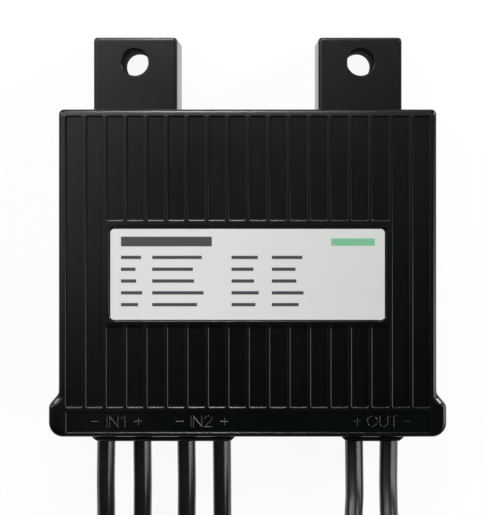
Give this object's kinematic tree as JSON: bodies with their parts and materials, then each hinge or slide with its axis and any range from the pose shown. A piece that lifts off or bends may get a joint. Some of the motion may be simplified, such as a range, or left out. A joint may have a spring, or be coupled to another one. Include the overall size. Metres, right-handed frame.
{
  "type": "power optimizer",
  "caption": "Flat black solar power optimizer with a ribbed front, silver label plate, bolt tabs on top and sealed leads with locking connectors below.",
  "frame": {"origin": "middle of the unit without its leads, on the plane of its flat back", "axes": "+Z out of the ribbed front, +Y towards the bolt tabs, +X to the output side"},
  "size_m": [0.1326, 0.3419, 0.034],
  "materials": {
    "case_black": "semi-gloss moulded black plastic",
    "seal_rubber": "soft black rubber",
    "screw_steel": "plain zinc steel",
    "label_silver": "satin silver film",
    "board_green": "solder resist",
    "spreader_metal": "milled aluminium",
    "pad_grey": "soft silicone",
    "chip_black": "moulded package",
    "core_grey": "coated powder core",
    "copper_wire": "enamelled copper",
    "capacitor_red": "moulded box",
    "capacitor_blue": "sleeved can",
    "tie_nylon": "black nylon",
    "connector_black": "fine moulded black plastic",
    "contact_metal": "tinned metal",
    "cable_jacket": "smooth glossy black jacket"
  },
  "bodies": {
    "root": {"front_case": "case_black", "back_cover": "case_black", "cover_gasket": "seal_rubber", "cover_screws": "screw_steel", "label_plate": "label_silver", "circuit_board": "board_green", "board_screws": "screw_steel", "heat_spreader": "spreader_metal", "thermal_pad": "pad_grey", "power_transistors": "chip_black", "inductor_core_1": "core_grey", "inductor_winding_1": "copper_wire", "inductor_core_2": "core_grey", "inductor_winding_2": "copper_wire", "input_capacitors": "capacitor_red", "output_capacitors": "capacitor_blue", "bypass_diodes": "chip_black", "control_processor": "chip_black", "signal_transformer": "core_grey", "input_terminals": "copper_wire", "output_terminals": "copper_wire", "input_seal_1": "seal_rubber", "input_seal_2": "seal_rubber", "output_seal": "seal_rubber", "input_retainer_1": "chip_black", "input_retainer_2": "chip_black", "output_retainer": "chip_black", "retainer_screws": "screw_steel", "input_lead_1": "cable_jacket", "input_lead_2": "cable_jacket", "input_lead_3": "cable_jacket", "input_lead_4": "cable_jacket", "output_lead_1": "cable_jacket", "output_lead_2": "cable_jacket", "output_hank_1": "cable_jacket", "output_hank_2": "cable_jacket", "output_tail_1": "cable_jacket", "output_tail_2": "cable_jacket", "hank_ties": "tie_nylon", "input_connector_1": "connector_black", "input_connector_2": "connector_black", "input_connector_3": "connector_black", "input_connector_4": "connector_black", "output_connector_1": "connector_black", "output_connector_2": "connector_black", "input_nut_1": "connector_black", "input_nut_2": "connector_black", "input_nut_3": "connector_black", "input_nut_4": "connector_black", "output_nut_1": "connector_black", "output_nut_2": "connector_black", "input_contact_1": "contact_metal", "input_contact_2": "contact_metal", "input_contact_3": "contact_metal", "input_contact_4": "contact_metal", "output_contact_1": "contact_metal", "output_contact_2": "contact_metal", "nose_seals": "seal_rubber"}
  },
  "joints": []
}
